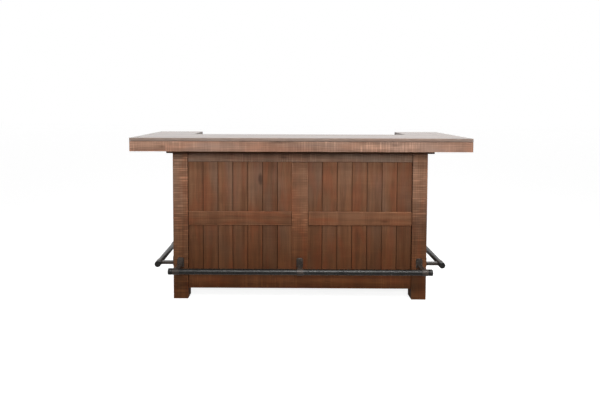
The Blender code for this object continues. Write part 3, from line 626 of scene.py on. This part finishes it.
outer_low, board_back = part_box("top_board_front")
notch_corner, outer_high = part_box("top_board_right_wing")
front_strip_low, front_strip_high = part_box("edge_strip_front")
strip_thickness = front_strip_high.y - front_strip_low.y
strip_height = front_strip_high.z - front_strip_low.z
strip_corners = np.array([
    (outer_low.x, outer_low.y),
    (outer_high.x, outer_low.y),
    (outer_high.x, outer_high.y),
    (notch_corner.x, outer_high.y),
    (notch_corner.x, board_back.y),
    (-notch_corner.x, board_back.y),
    (-notch_corner.x, outer_high.y),
    (outer_low.x, outer_high.y),
])
STRIPS = (
    "edge_strip_front",
    "edge_strip_right",
    "edge_strip_right_wing_end",
    "edge_strip_right_notch",
    "edge_strip_notch_front",
    "edge_strip_left_notch",
    "edge_strip_left_wing_end",
    "edge_strip_left",
)
strip_sides = np.roll(strip_corners, -1, axis=0) - strip_corners
strip_lengths = np.linalg.norm(strip_sides, axis=1)
strip_runs = strip_sides / strip_lengths[:, None]
strip_inward = np.stack([-strip_runs[:, 1], strip_runs[:, 0]], axis=1)
for number, node in enumerate(STRIPS):
    run, inward = strip_runs[number], strip_inward[number]
    slopes = (strip_inward[number - 1] @ run, strip_inward[(number + 1) % len(STRIPS)] @ run)
    start = strip_corners[number] + run * STRIP_GAP
    axes = [(*run, 0), (*inward, 0), (0, 0, 1)]
    strip_outline = {"step": FINE_STEP, "joints": STRIP_JOINTS, "radius": STRIP_RADIUS}
    outline = board_section(strip_thickness, strip_height, next_random(), **strip_outline)
    length = strip_lengths[number] - 2 * STRIP_GAP
    place = (*start, front_strip_low.z)
    knots = STRIP_KNOTS.get(node, ())
    piece = carry_section(
        f"sawn_{node}", outline, place, axes, length, STRIP_SAW, slopes, MITRE_RADIUS, knots=knots
    )
    give(piece, "counter", node, strip_wood)

# Drawers. Each is a box of thin boards behind a sawn front, open at the top, and slides on the board
# below it. Its long sides run the whole way, and its ends and bottom are let in between them.
DRAWER_WALL = 0.012
DRAWER_BOTTOM = 0.008
DRAWER_SAW = 0.15
DRAWER_FRONT_SAW = 0.8
BOARD_GAP = 0.0002

drawer_wood = stained_wood("stained_drawer_wood", *CARCASS_COLOURS, 0.2)
for side in ("left", "right"):
    body = f"drawer_{side}"
    low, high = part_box(f"{body}_front")
    piece = sawn_board(f"sawn_{body}_front", low, high, 0, DRAWER_FRONT_SAW)
    give(piece, body, f"{body}_front", frame_wood)
    low, high = (np.array(corner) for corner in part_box(f"{body}_box"))
    inner_low = low + (DRAWER_WALL + BOARD_GAP, 0, 0)
    inner_high = high - (DRAWER_WALL + BOARD_GAP, 0, 0)
    boards = {
        "side_a": (low, (low[0] + DRAWER_WALL, high[1], high[2]), 1),
        "side_b": ((high[0] - DRAWER_WALL, low[1], low[2]), high, 1),
        "back": (inner_low, (inner_high[0], low[1] + DRAWER_WALL, high[2]), 0),
        "end": ((inner_low[0], high[1] - DRAWER_WALL, low[2]), inner_high, 0),
        "bottom": (
            inner_low + (0, DRAWER_WALL + BOARD_GAP, 0),
            (inner_high[0], high[1] - DRAWER_WALL - BOARD_GAP, low[2] + DRAWER_BOTTOM),
            0,
        ),
    }
    for part, (board_low, board_high, axis) in boards.items():
        piece = sawn_board(f"{body}_{part}", board_low, board_high, axis, DRAWER_SAW)
        give(piece, body, f"{body}_box", drawer_wood)

# Doors. Two stiles and two rails hold a planked panel. Each turns on wooden pins at the end of one
# stile, in holes in the boards above and below it.
DOOR_FRAME_WIDTH = 0.062
DOOR_SAW = 0.8
DOOR_PLANKS = 4
DOOR_GROOVE = (0.004, 0.003)
PANEL_GAP = 0.0003
PIN_RADIUS = 0.0058
PIN_EDGE = 0.0006
PIN_SIDES = 24


def turned_piece(name, profile, place, axes, sides, grained=False, closed=False):
    """Spin a profile of (distance along, radius) about the first axis: each point is the place plus the
    distance along the first axis, plus the radius times the cosine and sine of the angle along the
    other two. A wooden piece is grained, and carries its grain and tone."""
    profile = np.array(profile, float)
    angle = np.linspace(0, 2 * math.pi, sides, endpoint=False)
    along = np.broadcast_to(profile[:, :1], (len(profile), sides))
    local = np.stack([along, profile[:, 1:] * np.cos(angle), profile[:, 1:] * np.sin(angle)], axis=-1)
    rings = np.array(place) + local @ np.array(axes, float)
    values = {}
    if grained:
        values = {"grain": local + next_random().uniform(-GRAIN_SPREAD, GRAIN_SPREAD, 3)}
        values["tone"] = np.full(rings.shape[:2], 0.5)
    return put_mesh(name, rings, values, closed)


for side in ("left", "right"):
    body = f"door_{side}"
    pin_low, pin_high = (np.array(corner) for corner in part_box(f"{body}_frame"))
    panel_low, panel_high = (np.array(corner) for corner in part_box(f"{body}_panel"))
    inner_low = panel_low - PANEL_GAP
    inner_high = panel_high + PANEL_GAP
    low = np.array((pin_low[0], pin_low[1], inner_low[2] - DOOR_FRAME_WIDTH))
    high = np.array((pin_high[0], pin_high[1], inner_high[2] + DOOR_FRAME_WIDTH))
    rail_start = inner_low[0] + BOARD_GAP
    rail_end = inner_high[0] - BOARD_GAP
    boards = {
        "stile_a": (low, (inner_low[0], high[1], high[2]), 2),
        "stile_b": ((inner_high[0], low[1], low[2]), high, 2),
        "rail_low": ((rail_start, low[1], low[2]), (rail_end, high[1], inner_low[2]), 0),
        "rail_high": ((rail_start, low[1], inner_high[2]), (rail_end, high[1], high[2]), 0),
    }
    for part, (board_low, board_high, axis) in boards.items():
        piece = sawn_board(f"{body}_{part}", board_low, board_high, axis, DOOR_SAW)
        give(piece, body, f"{body}_frame", frame_wood)
    outline = {"planks": DOOR_PLANKS, "face": 2, "groove": DOOR_GROOVE}
    piece = sawn_board(f"planks_{body}_panel", panel_low, panel_high, 2, PLANK_SAW, **outline)
    give(piece, body, f"{body}_panel", plank_wood)
    joint = next(joint for joint in frame["joints"] if joint["child"] == body)
    pin_x, pin_y = joint["pos_m"][:2]
    pins = {"pin_low": (pin_low[2], low[2] + EDGE_RADIUS), "pin_high": (high[2] - EDGE_RADIUS, pin_high[2])}
    for part, (start, end) in pins.items():
        profile = [
            (start, PIN_RADIUS - PIN_EDGE),
            (start + PIN_EDGE, PIN_RADIUS),
            (end - PIN_EDGE, PIN_RADIUS),
            (end, PIN_RADIUS - PIN_EDGE),
        ]
        axes = [(0, 0, 1), (1, 0, 0), (0, 1, 0)]
        piece = turned_piece(f"{body}_{part}", profile, (pin_x, pin_y, 0), axes, PIN_SIDES, grained=True)
        give(piece, body, f"{body}_frame", frame_wood)

# Foot rails. Iron tubes run along the front and both ends, with a wider cap welded on each end, which
# has a small vent hole. They are blackened and waxed, mottled, and dusty in places.
RAIL_STEP = 0.012
RAIL_SIDES = 40
TUBE_RADIUS = 0.018
CAP_LENGTH = 0.024
CAP_ROUNDING = 0.004
CAP_CHAMFER = (0.001, 0.0008)
CAP_FACE_STEP = 0.001
BEAD_RADIUS = 0.0012
ROUND_STEPS = 6
BEAD_STEPS = 7
VENT_RADIUS = 0.003
VENT_DEPTH = 0.002
VENT_FLOOR_STEP = 0.001
VENT_CHAMFER = 0.0005
DENT_DEPTH = 0.00005
DENT_LENGTH = 0.03
DENT_START = 200
MOTTLE_SCALE = 38.0
DENT_SCALE = 110.0
GRIT_SCALE = 900.0
DUST_SCALE = 14.0
MOST_DUST = 0.22
DUST_COLOUR = (0.040, 0.030, 0.022, 1)
IRON_GLOSS = 0.38
IRON_METALLIC = 0.1
IRON_BUMP_STRENGTH = 0.5
RAIL_DARK = (0.004, 0.0037, 0.0033)
RAIL_RUBBED = (0.018, 0.017, 0.015)
RAIL_BUMP_DEPTH = 0.00002
RAIL_AXES = {"front": 0, "left": 1, "right": 1}


def make_iron_look():
    """The group that all the ironwork uses: a mottled black skin, rubbed paler in places and dusty brown
    in others, over a surface that was hammered and has a fine grit."""
    tree = bpy.data.node_groups.new("blackened_iron", "ShaderNodeTree")
    tree.interface.new_socket("Place", in_out="INPUT", socket_type="NodeSocketVector")
    tree.interface.new_socket("Dark", in_out="INPUT", socket_type="NodeSocketColor")
    tree.interface.new_socket("Rubbed", in_out="INPUT", socket_type="NodeSocketColor")
    add_outputs(tree)
    given = tree.nodes.new("NodeGroupInput").outputs
    place = given["Place"]
    mottle = stretched_noise(tree, place, (MOTTLE_SCALE,) * 3, 4.0, 0.3)
    dents = stretched_noise(tree, place, (DENT_SCALE,) * 3, 1.0)
    grit = stretched_noise(tree, place, (GRIT_SCALE,) * 3, 2.0)
    dust = stretched_noise(tree, place, (DUST_SCALE,) * 3, 3.0)
    colour = mix_colours(tree, fade(tree, mottle, 0.3, 0.75), given["Dark"], given["Rubbed"])
    colour = mix_colours(tree, fade(tree, dust, 0.5, 0.8, 0.0, MOST_DUST), colour, DUST_COLOUR)
    result = tree.nodes.new("NodeGroupOutput").inputs
    tree.links.new(colour, result["Color"])
    tree.links.new(fade(tree, mottle, 0.3, 0.7, 0.33, 0.25), result["Roughness"])
    height = calculate(tree, "MULTIPLY_ADD", grit, 0.15, dents)
    tree.links.new(height, result["Height"])
    return tree


iron_look = make_iron_look()


def blackened_iron(name, dark, rubbed, bump_depth):
    """A blackened iron, which reads the object's own place."""
    material = bpy.data.materials.new(name)
    material.use_nodes = True
    tree = material.node_tree
    shader = tree.nodes["Principled BSDF"]
    place = tree.nodes.new("ShaderNodeTexCoord").outputs["Object"]
    look = add_node(tree, "ShaderNodeGroup", node_tree=iron_look)
    tree.links.new(place, look.inputs["Place"])
    look.inputs["Dark"].default_value = (*dark, 1)
    look.inputs["Rubbed"].default_value = (*rubbed, 1)
    values = {"Strength": IRON_BUMP_STRENGTH, "Distance": bump_depth, "Height": look.outputs["Height"]}
    bump = add_node(tree, "ShaderNodeBump", values)
    tree.links.new(look.outputs["Color"], shader.inputs["Base Color"])
    tree.links.new(look.outputs["Roughness"], shader.inputs["Roughness"])
    tree.links.new(bump.outputs[0], shader.inputs["Normal"])
    shader.inputs["Metallic"].default_value = IRON_METALLIC
    shader.inputs["Specular IOR Level"].default_value = IRON_GLOSS
    return material


rail_iron = blackened_iron("blackened_rail_iron", RAIL_DARK, RAIL_RUBBED, RAIL_BUMP_DEPTH)
for rail, axis in RAIL_AXES.items():
    node = f"foot_rail_{rail}"
    low, high = (np.array(corner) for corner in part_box(node))
    half = (high - low)[axis] / 2
    cap_radius = (high - low)[2] / 2
    turn = np.linspace(0, math.pi / 2, ROUND_STEPS)
    rounding_along = half - CAP_ROUNDING * (1 - np.cos(turn))
    rounding = np.stack([rounding_along, cap_radius - CAP_ROUNDING * (1 - np.sin(turn))], axis=1)
    turn = np.linspace(0, math.pi, BEAD_STEPS)
    bead_middle = half - CAP_LENGTH - BEAD_RADIUS
    bead_along = bead_middle + BEAD_RADIUS * np.cos(turn)
    bead = np.stack([bead_along, TUBE_RADIUS + BEAD_RADIUS * np.sin(turn)], axis=1)
    vent = [
        (half - VENT_DEPTH, VENT_RADIUS - VENT_FLOOR_STEP),
        (half - VENT_DEPTH, VENT_RADIUS),
        (half, VENT_RADIUS + VENT_CHAMFER),
    ]
    face_edge = rounding[[0]] - (0, CAP_FACE_STEP)
    cap_end = half - CAP_LENGTH
    chamfer = [(cap_end + CAP_CHAMFER[0], cap_radius), (cap_end, cap_radius - CAP_CHAMFER[1])]
    ending = np.concatenate([vent, face_edge, rounding, chamfer, bead])
    count = round(2 * half / RAIL_STEP)
    middle = np.linspace(bead_middle - 3 * BEAD_RADIUS, 3 * BEAD_RADIUS - bead_middle, count)
    dents = DENT_DEPTH * eased_noise(middle / DENT_LENGTH + DENT_START, next_random())
    middle = np.stack([middle, TUBE_RADIUS - dents], axis=1)
    profile = np.concatenate([ending, middle, (ending * (-1, 1))[::-1]])[::-1]
    axes = np.eye(3)[[axis, (axis + 1) % 3, (axis + 2) % 3]]
    piece = turned_piece(f"tube_{node}", profile, (low + high) / 2, axes, RAIL_SIDES)
    give(piece, "counter", node, rail_iron)

# Brackets. A forged plate with two clipped corners is fixed to a post or the stile by two domed screws,
# a square bar stands out of it, and a collar on the bar's end holds the tube. Each bracket is given by
# the axis that it stands out along, and by the sign of that direction.
PLATE_THICKNESS = 0.008
PLATE_BELOW = 0.0145
PLATE_CLIP = 0.008
BAR_WIDTH = 0.032
BAR_HEIGHT = 0.019
COLLAR_RADIUS = 0.0205
COLLAR_LENGTH = 0.040
COLLAR_BORE = 0.0182
COLLAR_ROUNDING = 0.0008
BAR_GAP = 0.0004
FORGED_RIDGES = 0.3
SCREW_RADIUS = 0.0045
SCREW_HEIGHT = 0.0022
SCREW_SUNK = 0.002
SCREW_TOP = (0.995, 0.12)
SCREW_SPREAD = 0.0115
SCREW_RISE = 0.0285
SCREW_SIDES = 24
EDGE_PARTS = 8
BRACKET_DARK = (0.022, 0.0165, 0.0135)
BRACKET_RUBBED = (0.066, 0.050, 0.041)
BRACKET_BUMP_DEPTH = 0.0004
BRACKETS = {
    "bracket_front_left": (1, -1),
    "bracket_front_middle": (1, -1),
    "bracket_front_right": (1, -1),
    "bracket_left_front": (0, -1),
    "bracket_left_rear": (0, -1),
    "bracket_right_front": (0, 1),
    "bracket_right_rear": (0, 1),
}


def plate_section(width, height, clip):
    """A plate's outline with its two upper corners clipped, counter-clockwise, each edge divided into
    equal parts. A point's outward direction is square to the line between its two neighbours."""
    half = width / 2
    corners = np.array([
        (-half, 0),
        (half, 0),
        (half, height - clip),
        (half - clip, height),
        (clip - half, height),
        (-half, height - clip),
    ])
    after = np.roll(corners, -1, axis=0)
    share = np.linspace(0, 1, EDGE_PARTS, endpoint=False)[None, :, None]
    points = (corners[:, None] + (after - corners)[:, None] * share).reshape(-1, 2)
    tangent = np.roll(points, -1, axis=0) - np.roll(points, 1, axis=0)
    directions = np.stack([tangent[:, 1], -tangent[:, 0]], axis=1)
    directions /= np.linalg.norm(directions, axis=1)[:, None]
    return points, directions, np.ones(len(points)), np.zeros(len(points), int), np.zeros(len(points))


bracket_iron = blackened_iron("blackened_bracket_iron", BRACKET_DARK, BRACKET_RUBBED, BRACKET_BUMP_DEPTH)
for node, (axis, sign) in BRACKETS.items():
    low, high = (np.array(corner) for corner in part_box(node))
    outward = np.zeros(3)
    outward[axis] = sign
    upward = np.array((0.0, 0.0, 1.0))
    sideways = np.cross(outward, upward)
    axes = [outward, -sideways, upward]
    wall = (low + high) / 2 - outward * (high - low)[axis] / 2
    wall[2] = low[2] + COLLAR_RADIUS
    reach = (high - low)[axis] - COLLAR_RADIUS

    foot = wall - upward * PLATE_BELOW
    outline = plate_section((high - low)[1 - axis], high[2] - foot[2], PLATE_CLIP)
    plate = carry_section(f"plate_{node}", outline, foot, axes, PLATE_THICKNESS, FORGED_RIDGES)
    give(plate, "counter", node, bracket_iron)

    bar_start = wall + outward * PLATE_THICKNESS / 2 + sideways * BAR_WIDTH / 2 - upward * BAR_HEIGHT / 2
    bar_length = reach - PLATE_THICKNESS / 2 - COLLAR_BORE - BAR_GAP
    outline = board_section(BAR_WIDTH, BAR_HEIGHT, next_random())
    bar = carry_section(f"bar_{node}", outline, bar_start, axes, bar_length, FORGED_RIDGES)
    give(bar, "counter", node, bracket_iron)

    half, edge = COLLAR_LENGTH / 2, COLLAR_ROUNDING
    profile = [
        (-half, COLLAR_RADIUS - edge),
        (edge - half, COLLAR_RADIUS),
        (half - edge, COLLAR_RADIUS),
        (half, COLLAR_RADIUS - edge),
        (half, COLLAR_BORE),
        (-half, COLLAR_BORE),
    ]
    collar_axes = [sideways, outward, np.cross(sideways, outward)]
    place = wall + outward * reach
    collar = turned_piece(f"collar_{node}", profile, place, collar_axes, RAIL_SIDES, closed=True)
    give(collar, "counter", node, bracket_iron)

    turn = np.linspace(0, math.pi / 2, ROUND_STEPS)[:-1]
    dome = np.stack([SCREW_HEIGHT * np.sin(turn), SCREW_RADIUS * np.cos(turn)], axis=1)
    top = np.array([(SCREW_HEIGHT, SCREW_RADIUS)]) * SCREW_TOP
    profile = np.concatenate([[(-SCREW_SUNK, SCREW_RADIUS)], dome, top])
    for part, offset in (("a", -SCREW_SPREAD), ("b", SCREW_SPREAD)):
        place = wall + outward * PLATE_THICKNESS + sideways * offset + upward * SCREW_RISE
        screw = turned_piece(f"screw_{node}_{part}", profile, place, axes, SCREW_SIDES)
        give(screw, "counter", node, bracket_iron)

# Knobs. Each drawer and door has a small knob, turned out of iron and blackened: a round base against
# the wood, a neck, and a flat head with a rounded rim. A screw from inside would hold it.
KNOB_SIDES = 40
KNOB_BASE_RADIUS = 0.010
KNOB_BASE_THICKNESS = 0.003
KNOB_BASE_EDGE = 0.0006
KNOB_BASE_ROUNDING = 0.0008
KNOB_NECK_RADIUS = 0.006
KNOB_NECK_START = 0.0034
KNOB_NECK_FILLET = (0.001, 0.0006)
KNOB_HEAD_START = 0.0115
KNOB_HEAD_SWELL = 0.005
KNOB_HEAD_EDGE = 0.0045
KNOB_RIM_LENGTH = 0.0035
KNOB_RIM_DEPTH = 0.004
KNOB_FLAT_SHARE = 0.4
KNOB_MIDDLE_RADIUS = 0.001
SWELL_STEPS = 9
RIM_STEPS = 7

for body in ("drawer_left", "drawer_right", "door_left", "door_right"):
    node = f"{body}_knob"
    low, high = (np.array(corner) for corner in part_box(node))
    length = high[1] - low[1]
    radius = (high[2] - low[2]) / 2
    place = np.array(((low[0] + high[0]) / 2, low[1], (low[2] + high[2]) / 2))
    base = [
        (0, KNOB_BASE_RADIUS - KNOB_BASE_EDGE),
        (KNOB_BASE_EDGE, KNOB_BASE_RADIUS),
        (KNOB_BASE_THICKNESS - KNOB_BASE_ROUNDING, KNOB_BASE_RADIUS),
        (KNOB_BASE_THICKNESS, KNOB_BASE_RADIUS - KNOB_BASE_ROUNDING),
    ]
    neck = [
        (KNOB_NECK_START, KNOB_NECK_RADIUS + KNOB_NECK_FILLET[1]),
        (KNOB_NECK_START + KNOB_NECK_FILLET[0], KNOB_NECK_RADIUS),
    ]
    turn = np.linspace(0, math.pi, SWELL_STEPS)
    swell_out = KNOB_NECK_RADIUS + (radius - KNOB_NECK_RADIUS) * (1 - np.cos(turn)) / 2
    swell = np.stack([KNOB_HEAD_START + KNOB_HEAD_SWELL * turn / math.pi, swell_out], axis=1)
    turn = np.linspace(0, math.pi / 2, RIM_STEPS)
    rim_along = length - KNOB_HEAD_EDGE + KNOB_RIM_LENGTH * np.sin(turn)
    rim = np.stack([rim_along, radius - KNOB_RIM_DEPTH * (1 - np.cos(turn))], axis=1)
    face = [(length, radius * KNOB_FLAT_SHARE), (length, KNOB_MIDDLE_RADIUS)]
    profile = np.concatenate([base, neck, swell, rim, face])
    knob = turned_piece(f"turned_{node}", profile, place, [(0, 1, 0), (0, 0, 1), (1, 0, 0)], KNOB_SIDES)
    give(knob, body, node, bracket_iron)

# Studio. A plain pale floor, a white surround, and soft lamps before, behind and above the counter, the
# last a little to the right. A narrow one makes the light line on the foot rails. The front and rear
# ones aren't mirrored. A lamp is given by its place, target, size, power, spread and being mirrored.
FLOOR_HALF = 30.0
FLOOR_COLOUR = (0.4, 0.4, 0.4)
FLOOR_GLOW = 0.87
FLOOR_MIRRORED = 0.15
FLOOR_ROUGHNESS = 0.9
FLOOR_GLOSS = 0.1
SURROUND_LEVEL = 0.22

floor_points = [
    (-FLOOR_HALF, -FLOOR_HALF, 0),
    (FLOOR_HALF, -FLOOR_HALF, 0),
    (FLOOR_HALF, FLOOR_HALF, 0),
    (-FLOOR_HALF, FLOOR_HALF, 0),
]
floor_mesh = bpy.data.meshes.new("floor")
floor_mesh.from_pydata(floor_points, [], [(0, 1, 2, 3)])
floor = bpy.data.objects.new("floor", floor_mesh)
bpy.context.scene.collection.objects.link(floor)

floor_paint = bpy.data.materials.new("pale_floor")
floor_paint.use_nodes = True
tree = floor_paint.node_tree
shader = tree.nodes["Principled BSDF"]
shader.inputs["Base Color"].default_value = (*FLOOR_COLOUR, 1)
shader.inputs["Roughness"].default_value = FLOOR_ROUGHNESS
shader.inputs["Specular IOR Level"].default_value = FLOOR_GLOSS
ray = tree.nodes.new("ShaderNodeLightPath").outputs
mirrored = calculate(tree, "MULTIPLY", ray["Is Glossy Ray"], FLOOR_MIRRORED)
seen = calculate(tree, "MAXIMUM", ray["Is Camera Ray"], mirrored)
shader.inputs["Emission Color"].default_value = (1, 1, 1, 1)
tree.links.new(calculate(tree, "MULTIPLY", seen, FLOOR_GLOW), shader.inputs["Emission Strength"])
floor_mesh.materials.append(floor_paint)

world = bpy.data.worlds.new("surround")
bpy.context.scene.world = world
world.use_nodes = True
tree = world.node_tree
ray = tree.nodes.new("ShaderNodeLightPath").outputs
indirect = calculate(tree, "MAXIMUM", ray["Is Glossy Ray"], ray["Is Transmission Ray"])
seen = calculate(tree, "MAXIMUM", ray["Is Camera Ray"], indirect)
strength = calculate(tree, "MULTIPLY_ADD", seen, 1 - SURROUND_LEVEL, SURROUND_LEVEL)
background = tree.nodes["Background"]
background.inputs["Color"].default_value = (1, 1, 1, 1)
tree.links.new(strength, background.inputs["Strength"])

LAMPS = {
    "front_softbox": ((0.0, -3.6, 1.76), (0.0, 0.0, 1.42), (4.8, 0.6), 31.0, 62, False),
    "rail_softbox": ((0.3, -2.5, 2.3), (0.1, -0.5, 0.25), (3.2, 0.4), 7.5, 50, True),
    "rear_softbox": ((0.0, 2.6, 3.4), (0.0, 0.3, 0.7), (3.0, 0.6), 14.0, 62, False),
    "top_softbox": ((0.9, -1.0, 3.0), (0.3, -0.1, 1.0), (3.0, 0.8), 37.0, 180, True),
}
for name, (place, target, size, power, spread, mirrored) in LAMPS.items():
    lamp = bpy.data.objects.new(name, bpy.data.lights.new(name, "AREA"))
    lamp.data.shape = "RECTANGLE"
    lamp.data.size, lamp.data.size_y = size
    lamp.data.energy = power
    lamp.data.spread = math.radians(spread)
    lamp.location = place
    lamp.visible_glossy = mirrored
    aim = np.array(target) - np.array(place)
    lamp.rotation_euler = (math.atan2(math.hypot(aim[0], aim[1]), -aim[2]), 0, math.atan2(-aim[0], aim[1]))
    bpy.context.scene.collection.objects.link(lamp)

bpy.context.scene.view_settings.view_transform = "Standard"
